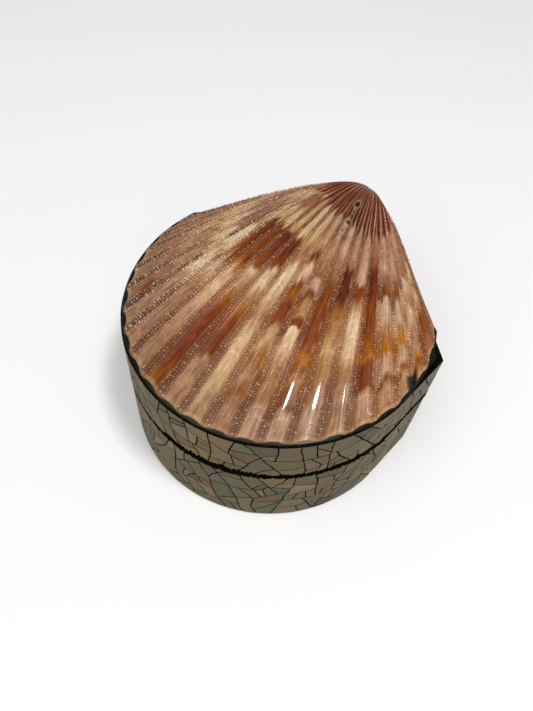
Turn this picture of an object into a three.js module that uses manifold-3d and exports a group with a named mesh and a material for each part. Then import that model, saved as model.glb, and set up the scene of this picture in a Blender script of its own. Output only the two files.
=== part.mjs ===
// Trinket box with a lift-off lid that carries a ribbed scallop valve.
// Millimetres, +Z up. The origin is on the table, under the middle of the box.
// The valve's umbo points to +Y, and its fan of ribs opens towards -Y.
// Angles of the fan are measured at the umbo from the -Y direction, positive towards +X.

import * as THREE from 'three';
import Module from 'manifold-3d';

// The valve
const VALVE_LENGTH = 80;         // from the umbo to the middle of the front margin
const FAN_HALF_ANGLE = 49.6;     // degrees, from the middle rib to each flank
const FAN_POWER = 1.273;         // how fast the margin draws in towards the flanks
const EAR_ROUNDING = 0.8;        // how far the two ends of the margin are rounded off
const EAR_START = 40;            // degrees, where that rounding begins
const CURL_TURN = 0.4;           // tangent of the growth spiral along the middle rib
const FLANK_TURN = 0.12;         // how much steeper it grows towards the flanks
const CURL_RATE = 0.277;         // how much tighter the spiral is near the umbo
const BEAK_TURN = 167;           // degrees through which the beak curls over
const FLANK_FLARE = 0.12;        // how far a flank spreads outwards, per unit of its height
const VALVE_LEAN = 0.06;         // how far the valve leans to the right, per unit of its height
const VALVE_WALL = 2;            // thickness of the valve
const RIB_COUNT = 22;
const RIB_HEIGHT = 0.85;         // relief of a rib, groove to crest, on the front of the valve
const RIB_FADE = 0.8;            // power by which the relief fades towards the umbo
const RIB_FLATNESS = 2.4;        // higher gives flatter crests and narrower grooves
const MARGIN_FADE = 0.45;        // share of the relief that is lost at the margin itself
const MARGIN_FADE_POWER = 12;    // higher keeps that loss closer to the margin
const HOLLOW_MIDDLE = 0.45;      // share of the length from the umbo to the hollow's middle
const HOLLOW_SPREAD = 0.31;      // share of the length from that middle to the flanks
const HOLLOW_SIDE_WALL = 0.75;   // share of the wall that is taken off sideways
const HOLLOW_TOP_WALL = 0.5;     // share of the wall that is taken off downwards

// The plan of the box, taken from the valve
const LEDGE = 0.9;               // ledge of the lid outside the front margin
const CORNER_ANGLE = 47.5;       // degrees, place of the sharp corner on the right
const CORNER_LEDGE = 5.1;        // how far that corner stands outside the margin
const STRAIGHT_FROM = 34;        // degrees, where the straight run to that corner starts
const SHOULDER_RADIUS = 12;      // rounding of the shoulder on the left
const BACK_HALF_WIDTH = 7.8;     // half width of the blunt back
const BACK_START = 1;            // where the blunt back begins, behind the umbo
const BACK_BULGE = 3;            // how far the back bows out from there

// Heights and walls
const BASE_HEIGHT = 23.3;        // from the table to the rim of the base
const LID_HEIGHT = 14.3;         // from the underside of the lid to its deck
const PARTING_GAP = 0.3;         // hairline between base and lid
const BED_GAP = 0.3;             // hairline between the deck and the ground edge of the valve
const CHIP_THICKNESS = 1.1;      // mother-of-pearl chips of the side bands
const GLUE_GAP = 0.3;            // hairline between the chips and the body behind them
const FOOT_CLEARANCE = 0.4;      // height of the chips over the table
const EDGE_SETBACK = 0.15;       // how far the chips stop short of the parting plane and the deck
const BODY_WALL = 2.2;           // wall behind the chips
const FLOOR_THICKNESS = 2.6;
const DECK_THICKNESS = 2.6;
const FOOT_CHAMFER = 0.6;
const LIP_CLEARANCE = 0.3;       // side play between the lip of the base and the lid
const LIP_WALL = 1.5;
const LIP_HEIGHT = 2.5;          // how far the lip stands up into the lid
const LIP_CHAMFER = 0.4;

// Fineness of the facets
const FRONT_STEPS = 34;
const SHOULDER_SPACING = 1.2;    // room kept between the shoulder's rounding and the front
const SHOULDER_STEPS = 3;
const BACK_STEPS = 8;
const VALVE_ROWS = 15;
const ROWS_POWER = 1.6;
const COLUMNS_PER_RIB = 4;
const INSIDE_ROWS = 11;
const INSIDE_COLUMNS = 34;

const radians = THREE.MathUtils.degToRad;

// Distance from the umbo to the margin at an angle of the fan, in degrees.
function marginRadius(angle) {
  const past = Math.max(0, Math.abs(angle) - EAR_START) / (FAN_HALF_ANGLE - EAR_START);
  return VALVE_LENGTH * Math.cos(radians(angle)) ** FAN_POWER - EAR_ROUNDING * past * past;
}

// A point in plan at an angle and a distance from the umbo.
function polar(angle, distance) {
  const turn = radians(angle);
  return new THREE.Vector2(distance * Math.sin(turn), -distance * Math.cos(turn));
}

// Replaces a corner by an arc of the given radius.
function roundedCorner(before, corner, after, radius, steps) {
  const toBefore = before.clone().sub(corner).normalize();
  const toAfter = after.clone().sub(corner).normalize();
  const half = Math.acos(toBefore.dot(toAfter)) / 2;
  const bisector = toBefore.clone().add(toAfter).normalize();
  const centre = corner.clone().addScaledVector(bisector, radius / Math.sin(half));
  const reach = radius / Math.tan(half);
  const first = corner.clone().addScaledVector(toBefore, reach).sub(centre);
  const last = corner.clone().addScaledVector(toAfter, reach).sub(centre);
  const turn = Math.atan2(first.cross(last), first.dot(last));
  const points = [];
  for (let i = 0; i <= steps; i++) {
    points.push(first.clone().rotateAround(new THREE.Vector2(), (turn * i) / steps).add(centre));
  }
  return points;
}

// The outer plan of the box, counter-clockwise, with the umbo at the origin.
function boxPlan() {
  const shoulder = polar(-FAN_HALF_ANGLE, marginRadius(-FAN_HALF_ANGLE) + LEDGE);
  const corner = polar(CORNER_ANGLE, marginRadius(CORNER_ANGLE) + CORNER_LEDGE);
  const backLeft = new THREE.Vector2(-BACK_HALF_WIDTH, BACK_START);

  const front = [];
  for (let i = 0; i <= FRONT_STEPS; i++) {
    const angle = THREE.MathUtils.lerp(-FAN_HALF_ANGLE, STRAIGHT_FROM, i / FRONT_STEPS);
    front.push(polar(angle, marginRadius(angle) + LEDGE));
  }
  const rounding = roundedCorner(backLeft, shoulder, front[2], SHOULDER_RADIUS, SHOULDER_STEPS);
  const reach = rounding[SHOULDER_STEPS].distanceTo(shoulder);
  const rest = front.filter((point) => point.distanceTo(shoulder) > reach * SHOULDER_SPACING);

  const backRadius = (BACK_HALF_WIDTH ** 2 + BACK_BULGE ** 2) / (2 * BACK_BULGE);
  const backTurn = Math.asin(BACK_HALF_WIDTH / backRadius);
  const back = [];
  for (let i = 0; i <= BACK_STEPS; i++) {
    const turn = THREE.MathUtils.lerp(backTurn, -backTurn, i / BACK_STEPS);
    const depth = BACK_START + BACK_BULGE - backRadius * (1 - Math.cos(turn));
    back.push(new THREE.Vector2(backRadius * Math.sin(turn), depth));
  }
  return [...rounding, ...rest, corner, ...back];
}

// Moves every side of a convex plan inwards by the same distance.
function inset(plan, distance) {
  return plan.map((point, i) => {
    const before = point.clone().sub(plan.at(i - 1)).normalize();
    const after = plan[(i + 1) % plan.length].clone().sub(point).normalize();
    const normalBefore = new THREE.Vector2(-before.y, before.x);
    const normalAfter = new THREE.Vector2(-after.y, after.x);
    const share = distance / (1 + normalBefore.dot(normalAfter));
    return point.clone().addScaledVector(normalBefore.add(normalAfter), share);
  });
}

const plan = boxPlan();
const planFront = Math.min(...plan.map((point) => point.y));
const planBack = Math.max(...plan.map((point) => point.y));
const umboY = -(planFront + planBack) / 2;

function indexed(vertices, faces) {
  const geometry = new THREE.BufferGeometry();
  geometry.setAttribute('position', new THREE.Float32BufferAttribute(vertices.flat(), 3));
  geometry.setIndex(faces.flat());
  geometry.computeVertexNormals();
  return geometry;
}

// A body whose plan is the same all the way round. Each level is [distance inside the plan,
// height], from the underside outwards, up, and in again. A ring closes on its first level,
// and anything else is closed by its first and last level.
function walls(levels, ring) {
  const count = plan.length;
  const vertices = [];
  for (const [distance, height] of levels) {
    for (const point of inset(plan, distance)) {
      vertices.push([point.x, point.y + umboY, height]);
    }
  }
  const faces = [];
  const bands = ring ? levels.length : levels.length - 1;
  for (let j = 0; j < bands; j++) {
    const low = j * count;
    const high = ((j + 1) % levels.length) * count;
    for (let i = 0; i < count; i++) {
      const next = (i + 1) % count;
      faces.push([low + i, low + next, high + next], [low + i, high + next, high + i]);
    }
  }
  if (!ring) {
    const top = (levels.length - 1) * count;
    const first = inset(plan, levels[0][0]);
    const last = inset(plan, levels.at(-1)[0]);
    THREE.ShapeUtils.triangulateShape(first, []).forEach(([a, b, c]) => faces.push([a, c, b]));
    THREE.ShapeUtils.triangulateShape(last, []).forEach(([a, b, c]) => {
      faces.push([top + a, top + b, top + c]);
    });
  }
  return indexed(vertices, faces);
}

// Relief over the smooth form at an angle of the fan, from the grooves up to the crests.
function ribRelief(angle) {
  const ribs = ((angle + FAN_HALF_ANGLE) / (2 * FAN_HALF_ANGLE)) * RIB_COUNT;
  return RIB_HEIGHT * (0.5 - Math.abs(Math.cos(Math.PI * ribs)) ** RIB_FLATNESS);
}

// Tangent of the growth spiral at an angle of the fan.
function spiralTurn(angle) {
  return CURL_TURN + FLANK_TURN * Math.sin(radians(angle)) ** 2;
}

// Growth at which the beak ends its curl.
function beakGrowth(angle) {
  return (1 + (radians(BEAK_TURN) * CURL_RATE) / spiralTurn(angle)) ** (-1 / CURL_RATE);
}

// A point of the valve's outer face. Growth runs to 1 at the margin, and each line of constant
// angle is a spiral that curls over towards the umbo. The spiral meets its own radius at nearly
// the same angle everywhere, which turns a relief into a longer or shorter reach.
function valvePoint(angle, growth, relief) {
  const turn = radians(angle);
  const curl = (spiralTurn(angle) * (growth ** -CURL_RATE - 1)) / CURL_RATE;
  const fade = growth ** RIB_FADE * (1 - MARGIN_FADE * growth ** MARGIN_FADE_POWER);
  const lift = (relief * fade) / Math.sin(Math.atan(CURL_TURN));
  const reach = growth * marginRadius(angle) + lift;
  return [
    reach * Math.sin(turn),
    -reach * Math.cos(turn) * Math.cos(curl),
    reach * Math.cos(turn) * Math.sin(curl),
  ];
}

// The foot of a flank below a point of the outermost line of the fan.
function flankFoot([x, y, z]) {
  const turn = radians(FAN_HALF_ANGLE);
  const spread = z * FLANK_FLARE;
  return [x + Math.sign(x) * spread * Math.cos(turn), y + spread * Math.sin(turn), 0];
}

// The valve as a closed dome on its own flat base, with its flanks below the two outermost lines
// of the fan. The first row is where the beak ends its curl.
function valveDome(columns, rows, ribbed) {
  const vertices = [[0, 0, 0]];
  const faces = [];
  const width = columns + 3;
  for (let j = 1; j <= rows; j++) {
    const share = ((j - 1) / (rows - 1)) ** ROWS_POWER;
    const line = [];
    for (let i = 0; i <= columns; i++) {
      const angle = THREE.MathUtils.lerp(-FAN_HALF_ANGLE, FAN_HALF_ANGLE, i / columns);
      const growth = THREE.MathUtils.lerp(beakGrowth(angle), 1, share);
      line.push(valvePoint(angle, growth, ribbed ? ribRelief(angle) : 0));
    }
    if (j === rows) {
      line.forEach((point) => { point[2] = 0; });
      vertices.push(...line);
    } else {
      vertices.push(flankFoot(line[0]), ...line, flankFoot(line[columns]));
    }
  }
  vertices.forEach((point) => { point[0] += VALVE_LEAN * point[2]; });
  const at = (j, i) => {
    if (j === 0) {
      return 0;
    }
    const row = 1 + (j - 1) * width;
    return j < rows ? row + i : row + THREE.MathUtils.clamp(i - 1, 0, columns);
  };
  for (let j = 0; j < rows; j++) {
    for (let i = 0; i < width - 1; i++) {
      const a = at(j, i);
      const b = at(j + 1, i);
      const c = at(j + 1, i + 1);
      const d = at(j, i + 1);
      if (b !== c) {
        faces.push([a, b, c]);
      }
      if (a !== d) {
        faces.push([a, c, d]);
      }
    }
  }
  const rim = [0];
  for (let j = 1; j < rows; j++) {
    rim.push(at(j, 0));
  }
  for (let i = 1; i <= columns + 1; i++) {
    rim.push(at(rows, i));
  }
  for (let j = rows - 1; j > 0; j--) {
    rim.push(at(j, width - 1));
  }
  const flat = rim.map((index) => new THREE.Vector2(vertices[index][0], vertices[index][1]));
  THREE.ShapeUtils.triangulateShape(flat, []).forEach(([a, b, c]) => {
    faces.push([rim[a], rim[c], rim[b]]);
  });
  return { vertices, faces };
}

// The hollow of the valve is its smooth form, drawn in towards the middle and lowered, so that
// the wall is about as thick on the steep flanks as on the low front.
function valve(wasm) {
  const solid = ({ vertices, faces }) => new wasm.Manifold(new wasm.Mesh({
    numProp: 3,
    vertProperties: new Float32Array(vertices.flat()),
    triVerts: new Uint32Array(faces.flat()),
  }));
  const outside = valveDome(RIB_COUNT * COLUMNS_PER_RIB, VALVE_ROWS, true);
  const inside = valveDome(INSIDE_COLUMNS, INSIDE_ROWS, false);
  const middle = -HOLLOW_MIDDLE * VALVE_LENGTH;
  const drawnIn = 1 - (HOLLOW_SIDE_WALL * VALVE_WALL) / (HOLLOW_SPREAD * VALVE_LENGTH);
  const lowered = HOLLOW_TOP_WALL * VALVE_WALL;
  inside.vertices = inside.vertices.map(([x, y, z]) => [
    x * drawnIn,
    middle + (y - middle) * drawnIn,
    z * drawnIn - lowered,
  ]);
  const shell = solid(outside).subtract(solid(inside));
  const { vertProperties, triVerts, numProp } = shell.getMesh();
  const vertices = [];
  for (let i = 0; i < vertProperties.length; i += numProp) {
    vertices.push([vertProperties[i], vertProperties[i + 1], vertProperties[i + 2]]);
  }
  return indexed(vertices, Array.from(triVerts));
}

function piece(name, geometry, color, roughness, metalness = 0) {
  const mesh = new THREE.Mesh(
    geometry,
    new THREE.MeshStandardMaterial({ color, roughness, metalness }),
  );
  mesh.name = name;
  return mesh;
}

const wasm = await Module();
wasm.setup();

const bodyInset = CHIP_THICKNESS + GLUE_GAP;
const lidWallInside = bodyInset + BODY_WALL;
const lipOutside = lidWallInside + LIP_CLEARANCE;
const lipInside = lipOutside + LIP_WALL;
const lidBottom = BASE_HEIGHT + PARTING_GAP;
const deckTop = lidBottom + LID_HEIGHT;

// The base is a tray. Its wall is thick enough to carry the lip that the lid fits over.
const base = piece('base_tray', walls([
  [bodyInset + FOOT_CHAMFER, 0],
  [bodyInset, FOOT_CHAMFER],
  [bodyInset, BASE_HEIGHT],
  [lipOutside, BASE_HEIGHT],
  [lipOutside, BASE_HEIGHT + LIP_HEIGHT - LIP_CHAMFER],
  [lipOutside + LIP_CHAMFER, BASE_HEIGHT + LIP_HEIGHT],
  [lipInside, BASE_HEIGHT + LIP_HEIGHT],
  [lipInside, FLOOR_THICKNESS],
], false), 0x15170f, 0.25);

const baseChips = piece('base_mother_of_pearl', walls([
  [0, FOOT_CLEARANCE],
  [0, BASE_HEIGHT - EDGE_SETBACK],
  [CHIP_THICKNESS, BASE_HEIGHT - EDGE_SETBACK],
  [CHIP_THICKNESS, FOOT_CLEARANCE],
], true), 0x77715c, 0.2);

// The lid is a shallow tray turned over. Its levels start at the deck, under the valve.
const lid = piece('lid_body', walls([
  [lidWallInside, deckTop - DECK_THICKNESS],
  [lidWallInside, lidBottom],
  [bodyInset, lidBottom],
  [bodyInset, deckTop],
], false), 0x15170f, 0.25);

const lidChips = piece('lid_mother_of_pearl', walls([
  [0, lidBottom + EDGE_SETBACK],
  [0, deckTop - EDGE_SETBACK],
  [CHIP_THICKNESS, deckTop - EDGE_SETBACK],
  [CHIP_THICKNESS, lidBottom + EDGE_SETBACK],
], true), 0x77715c, 0.2);

const shell = piece('scallop_shell', valve(wasm), 0x9c6a4e, 0.25);
shell.position.set(0, umboY, deckTop + BED_GAP);

const lidGroup = new THREE.Group();
lidGroup.add(lid, lidChips, shell);

const box = new THREE.Group();
box.add(base, baseChips, lidGroup);

export default box;
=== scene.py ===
import math
import random

import bmesh
import bpy
import numpy as np
from bpy.props import FloatProperty, FloatVectorProperty, IntProperty, PointerProperty
from mathutils import Matrix, Vector


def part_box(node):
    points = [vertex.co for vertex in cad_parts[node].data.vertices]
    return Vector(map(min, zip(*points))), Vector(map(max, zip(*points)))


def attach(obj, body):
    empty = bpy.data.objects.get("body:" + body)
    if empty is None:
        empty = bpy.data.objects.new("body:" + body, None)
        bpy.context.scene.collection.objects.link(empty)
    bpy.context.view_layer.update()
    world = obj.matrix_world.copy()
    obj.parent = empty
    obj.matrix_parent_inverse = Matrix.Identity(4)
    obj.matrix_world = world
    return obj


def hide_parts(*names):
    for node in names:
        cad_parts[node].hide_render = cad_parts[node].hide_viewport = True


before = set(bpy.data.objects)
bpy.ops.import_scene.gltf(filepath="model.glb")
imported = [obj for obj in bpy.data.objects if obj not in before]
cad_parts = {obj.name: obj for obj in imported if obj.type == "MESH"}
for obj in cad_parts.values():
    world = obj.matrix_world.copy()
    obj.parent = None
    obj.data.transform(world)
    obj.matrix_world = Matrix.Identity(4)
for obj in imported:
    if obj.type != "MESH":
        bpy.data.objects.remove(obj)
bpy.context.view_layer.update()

bl_info = {
    "name": "Scallop Trinket Box",
    "version": (1, 0, 0),
    "blender": (4, 5, 0),
    "location": "View3D > Sidebar > Trinket Box",
    "description": "Dresses the packed trinket box with shell, mother-of-pearl chips and lacquer",
    "category": "Object",
}

MM = 0.001

# The valve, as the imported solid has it
HALF_FAN = 49.6
FAN_POWER = 1.273
EAR_START = 40.0
EAR_ROUNDING = 0.8 * MM
CURL_TURN = 0.4
FLANK_TURN = 0.12
CURL_RATE = 0.277
BEAK_TURN = math.radians(167)
FLANK_FLARE = 0.12
VALVE_LEAN = 0.06
RIB_COUNT = 22
RIB_FADE = 0.8
MARGIN_FADE_POWER = 12.0
UMBO_Y = 38.45 * MM
VALVE_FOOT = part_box("scallop_shell")[0].z

# Where the visible valve departs from the solid: more worn at its two ends, with lower crests,
# deeper and flatter grooves, and less relief at the margin. Depths are shares of the rib height.
EAR_WEAR = 1.5 * MM
MARGIN_FADE = 0.8
CREST_HEIGHT = 0.29
GROOVE_FLATNESS = 0.7
FLANK_DEPTH = 0.55
YOUNG_DEPTH = 0.16

# The hollow under the valve: rings by their share of the way to its middle, and their heights
HOLLOW_RINGS = ((0.06, 0.0), (0.2, 0.0016), (0.4, 0.003), (0.7, 0.0045), (0.9, 0.005))
HOLLOW_TOP = 0.0051
HOLLOW_MIDDLE_Y = UMBO_Y - 36 * MM

# The scales: shares of their own room that they fill
SCALE_FILL_ACROSS = 0.60
SCALE_FILL_ALONG = 0.46

# The black chip in the margin on the right, and how far round its middle no scale stands
MARGIN_CHIP_EDGES = (19.14, 19.22, 19.72, 19.8)
MARGIN_CHIP_START = (0.945, 0.955)
MARGIN_CHIP_RIB = 19.45
MARGIN_CHIP_REACH = 0.42
MARGIN_CHIP_GROWTH = 0.94

# The plan of the box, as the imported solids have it
LEDGE = 0.9 * MM
CORNER_ANGLE = 47.5
CORNER_LEDGE = 5.1 * MM
STRAIGHT_FROM = 34.0
SHOULDER_RADIUS = 12 * MM
BACK_HALF_WIDTH = 7.8 * MM
BACK_START = 1.0 * MM
BACK_BULGE = 3.0 * MM
LIP_HEIGHT = 2.5 * MM


# Sizes and colours that a user would change

class ValveSizes(bpy.types.PropertyGroup):
    """The scallop valve on the lid"""
    length: FloatProperty(name="Length", description="From the umbo to the middle of the margin",
                          default=80 * MM, unit="LENGTH", precision=4)
    rib_height: FloatProperty(name="Rib height", description="Relief of a rib, groove to crest",
                              default=0.85 * MM, unit="LENGTH", precision=5)
    rib_flatness: FloatProperty(name="Rib flatness", default=2.4,
                                description="Higher gives flatter crests and narrower grooves")
    columns_per_rib: IntProperty(name="Columns per rib", default=12,
                                 description="Fineness of the valve across a rib")
    rows: IntProperty(name="Rows", default=250,
                      description="Fineness of the valve from the umbo to the margin")


class ScaleSizes(bpy.types.PropertyGroup):
    """The small scales on the crests of the ribs"""
    rows_per_crest: IntProperty(name="Rows per crest", default=3,
                                description="Rows of scales side by side on a crest")
    scales_per_row: IntProperty(name="Scales per row", default=90,
                                description="Scales from the first growth line to the margin")
    first_growth: FloatProperty(name="First growth", default=0.22,
                                description="Where the rows of scales start, umbo 0, margin 1")
    band: FloatProperty(name="Band", default=0.40,
                        description="Share of a rib's width that its scales cover")
    height: FloatProperty(name="Height", description="How far a scale stands up",
                          default=0.26 * MM, unit="LENGTH", precision=5)
    seed: IntProperty(name="Seed", default=7, description="Picks the scatter of the scales")


class ChipSizes(bpy.types.PropertyGroup):
    """The mother-of-pearl chips on the sides"""
    area: FloatProperty(name="Chip area", description="Usual area of one chip, square millimetres",
                        default=19.0)
    crack: FloatProperty(name="Crack", description="Width of the resin line between two chips",
                         default=0.27 * MM, unit="LENGTH", precision=5)
    edge: FloatProperty(name="Worn edge", description="Width of the rounding round each chip",
                        default=0.14 * MM, unit="LENGTH", precision=5)
    thickness: FloatProperty(name="Thickness", description="Thickness of the chips",
                             default=1.0 * MM, unit="LENGTH", precision=5)
    tilt: FloatProperty(name="Tilt", description="Most that a chip leans, as a slope",
                        default=0.016)
    seed: IntProperty(name="Seed", default=21, description="Picks how the bands break up")


class LacquerSizes(bpy.types.PropertyGroup):
    """The black lacquer and resin"""
    seam_height: FloatProperty(name="Seam height", default=0.72 * MM, unit="LENGTH", precision=5,
                               description="Usual height of the ragged black edge at the seam")
    margin_bead: FloatProperty(name="Margin bead", default=0.34 * MM, unit="LENGTH", precision=5,
                               description="How far the resin under the valve shows outside it")
    colour: FloatVectorProperty(name="Lacquer colour", subtype="COLOR", size=3, min=0, max=1,
                                default=(0.006, 0.006, 0.004),
                                description="Colour of the black lacquer")


class StageLook(bpy.types.PropertyGroup):
    """Floor, lights and camera"""
    floor_colour: FloatVectorProperty(name="Floor colour", subtype="COLOR", size=3, min=0, max=1,
                                      default=(0.95, 0.95, 0.95), description="Pale floor")
    key_power: FloatProperty(name="Key light", default=12.7, unit="POWER",
                             description="Power of the large soft light in front")
    lamp_power: FloatProperty(name="Lamp", default=2.0, unit="POWER",
                              description="Power of the small lamp that the gloss mirrors")
    sky: FloatProperty(name="Sky", default=0.22, description="Strength of the pale surroundings")
    lens: FloatProperty(name="Lens", default=30.92, unit="CAMERA",
                        description="Focal length of the camera")


GROUPS = {"valve": ValveSizes, "scales": ScaleSizes, "chips": ChipSizes,
          "lacquer": LacquerSizes, "stage": StageLook}


def sizes(name):
    """One of the property groups of the scene."""
    return getattr(bpy.context.scene, "trinket_" + name)


# Node trees

def plug(tree, spot, value):
    """Feeds an input from a term, or sets it to a plain value."""
    if isinstance(value, Term):
        tree.links.new(value.socket, spot)
    else:
        spot.default_value = value


class Term:
    """A socket of a node tree, so that node maths reads as plain sums."""

    def __init__(self, tree, socket):
        self.tree = tree
        self.socket = socket

    def math(self, kind, *others):
        node = self.tree.nodes.new("ShaderNodeMath")
        node.operation = kind
        for spot, value in zip(node.inputs, (self, *others)):
            plug(self.tree, spot, value)
        return Term(self.tree, node.outputs[0])

    def __add__(self, other):
        return self.math("ADD", other)

    def __sub__(self, other):
        return self.math("SUBTRACT", other)

    def __mul__(self, other):
        return self.math("MULTIPLY", other)

    def __truediv__(self, other):
        return self.math("DIVIDE", other)

    def __pow__(self, other):
        return self.math("POWER", other)

    def __neg__(self):
        return self * -1.0

    def __rsub__(self, other):
        return -self + other

    def __rtruediv__(self, other):
        return self ** -1.0 * other

    __radd__ = __add__
    __rmul__ = __mul__

    def between(self, low, high):
        """0 at low, 1 at high, with soft ends."""
        node = self.tree.nodes.new("ShaderNodeMapRange")
        node.interpolation_type = "SMOOTHSTEP"
        for spot, value in zip(node.inputs, (self, low, high, 0.0, 1.0)):
            plug(self.tree, spot, value)
        return Term(self.tree, node.outputs[0])


class Bench:
    """A node tree under work."""

    def __init__(self, tree):
        self.tree = tree
        tree.nodes.clear()

    def add(self, kind, settings=None, inputs=None, output=0):
        """Any node. Inputs are given by name or number, and the chosen output comes back."""
        node = self.tree.nodes.new(kind)
        for name, value in (settings or {}).items():
            setattr(node, name, value)
        for name, value in (inputs or {}).items():
            plug(self.tree, node.inputs[name], value)
        return Term(self.tree, node.outputs[output])

    def blend(self, factor, first, second, kind="MIX"):
        """Two colours mixed."""
        settings = {"data_type": "RGBA", "blend_type": kind}
        return self.add("ShaderNodeMix", settings, {0: factor, 6: first, 7: second}, 2)

    def vector(self, x=0.0, y=0.0, z=0.0):
        return self.add("ShaderNodeCombineXYZ", None, {0: x, 1: y, 2: z})

    def parts(self, vector):
        node = self.tree.nodes.new("ShaderNodeSeparateXYZ")
        plug(self.tree, node.inputs[0], vector)
        return [Term(self.tree, socket) for socket in node.outputs]

    def noise(self, vector, scale, detail=2.0):
        return self.add("ShaderNodeTexNoise", None,
                        {"Vector": vector, "Scale": scale, "Detail": detail})

    def named_inputs(self, **kinds):
        """Adds named inputs to a geometry tree and gives them back as terms."""
        names = {key: key.replace("_", " ").capitalize() for key in kinds}
        for key, kind in kinds.items():
            self.tree.interface.new_socket(name=names[key], in_out="INPUT",
                                           socket_type="NodeSocket" + kind)
        node = self.tree.nodes.new("NodeGroupInput")
        return {names[key]: Term(self.tree, node.outputs[names[key]]) for key in kinds}

    def grid(self, across, along):
        """A flat grid of points, and its two coordinates from 0 to 1."""
        mesh = self.add("GeometryNodeMeshGrid", None, {
            "Size X": 1.0, "Size Y": 1.0, "Vertices X": across, "Vertices Y": along})
        place = self.parts(self.add("GeometryNodeInputPosition"))
        return mesh, place[0] + 0.5, place[1] + 0.5

    def store(self, mesh, name, value, kind="FLOAT", domain="POINT"):
        return self.add("GeometryNodeStoreNamedAttribute", {"data_type": kind, "domain": domain},
                        {"Geometry": mesh, "Name": name, "Value": value})

    def finish(self, mesh, material):
        """Ends a geometry tree."""
        mesh = self.add("GeometryNodeRealizeInstances", None, {"Geometry": mesh})
        mesh = self.add("GeometryNodeSetShadeSmooth", None, {"Geometry": mesh})
        mesh = self.add("GeometryNodeSetMaterial", None, {"Geometry": mesh, "Material": material})
        self.tree.interface.new_socket(name="Mesh", in_out="OUTPUT",
                                       socket_type="NodeSocketGeometry")
        plug(self.tree, self.tree.nodes.new("NodeGroupOutput").inputs[0], mesh)
        return self.tree


def grow(name, tree, material, values):
    """Runs a geometry tree on an empty mesh and gives back the plain object."""
    values = {"Material": material, **values}
    made = bpy.data.objects.new(name, bpy.data.meshes.new(name))
    bpy.context.scene.collection.objects.link(made)
    modifier = made.modifiers.new("grow", "NODES")
    modifier.node_group = tree
    for item in tree.interface.items_tree:
        if item.in_out == "INPUT":
            modifier[item.identifier] = values[item.name]
    made.update_tag()
    bpy.context.view_layer.update()
    evaluated = made.evaluated_get(bpy.context.evaluated_depsgraph_get())
    mesh = bpy.data.meshes.new_from_object(evaluated)
    made.modifiers.clear()
    made.data = mesh
    mesh.name = name
    mesh.materials.clear()
    mesh.materials.append(material)
    if not len(mesh.polygons):
        raise RuntimeError(name + " came out empty")
    return made


# The form of the valve, in node maths and in plain numbers

def fan_angle(rib):
    return (rib * (2 / RIB_COUNT) - 1.0) * math.radians(HALF_FAN)


def curl_slope(angle):
    return angle.math("SINE") ** 2.0 * FLANK_TURN + CURL_TURN


def valve_terms(given, rib, growth):
    """Angle, curl and reach of a point of the valve's outer face, and the reach of its margin."""
    angle = fan_angle(rib)
    past = (angle.math("ABSOLUTE") - math.radians(EAR_START)).math("MAXIMUM", 0.0)
    past = past * (1 / math.radians(HALF_FAN - EAR_START))
    margin = given["Length"] * angle.math("COSINE") ** FAN_POWER - past * past * EAR_WEAR
    curl = curl_slope(angle) * (growth ** -CURL_RATE - 1.0) * (1 / CURL_RATE)
    wave = (groove_shift(rib) * math.pi).math("COSINE").math("ABSOLUTE")
    floor = wave ** given["Rib flatness"] * (1 - GROOVE_FLATNESS)
    floor = floor + wave.between(0.3, 0.92) * GROOVE_FLATNESS
    fade = growth ** RIB_FADE * (1.0 - growth ** MARGIN_FADE_POWER * MARGIN_FADE)
    flanks = 1.0 - rib.between(6.0, 9.0) + rib.between(15.5, 18.5) * 0.6
    young = growth.between(0.06, 0.2) - growth.between(0.36, 0.6)
    depth = fade * 0.88 + flanks * fade * FLANK_DEPTH + young * YOUNG_DEPTH
    lift = (fade * CREST_HEIGHT - floor * depth) * given["Rib height"]
    return angle, curl, growth * margin + lift * (1 / math.sin(math.atan(CURL_TURN))), margin


def valve_place(bench, angle, curl, reach, drop=None):
    """The place of such a point. drop is how far down the flank it has gone, from 0 to 1."""
    across = reach * angle.math("SINE")
    depth = reach * angle.math("COSINE")
    back = -(depth * curl.math("COSINE"))
    height = depth * curl.math("SINE")
    if drop is not None:
        lost = height * drop
        foot = math.radians(HALF_FAN)
        across = across + angle.math("SIGN") * lost * (FLANK_FLARE * math.cos(foot))
        back = back + lost * (FLANK_FLARE * math.sin(foot))
        height = height - lost
    return bench.vector(across + height * VALVE_LEAN, back + UMBO_Y, height + VALVE_FOOT)


def groove_shift(rib):
    """The ribs aren't evenly spaced: they crowd a little towards the middle from both sides."""
    offset = (rib - 13.5) * (1 / 1.6)
    crowd = rib.between(12.5, 16.0) * 0.22 - 0.12
    return rib + (offset * offset * -1.0).math("EXPONENT") * 0.15 + crowd


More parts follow.
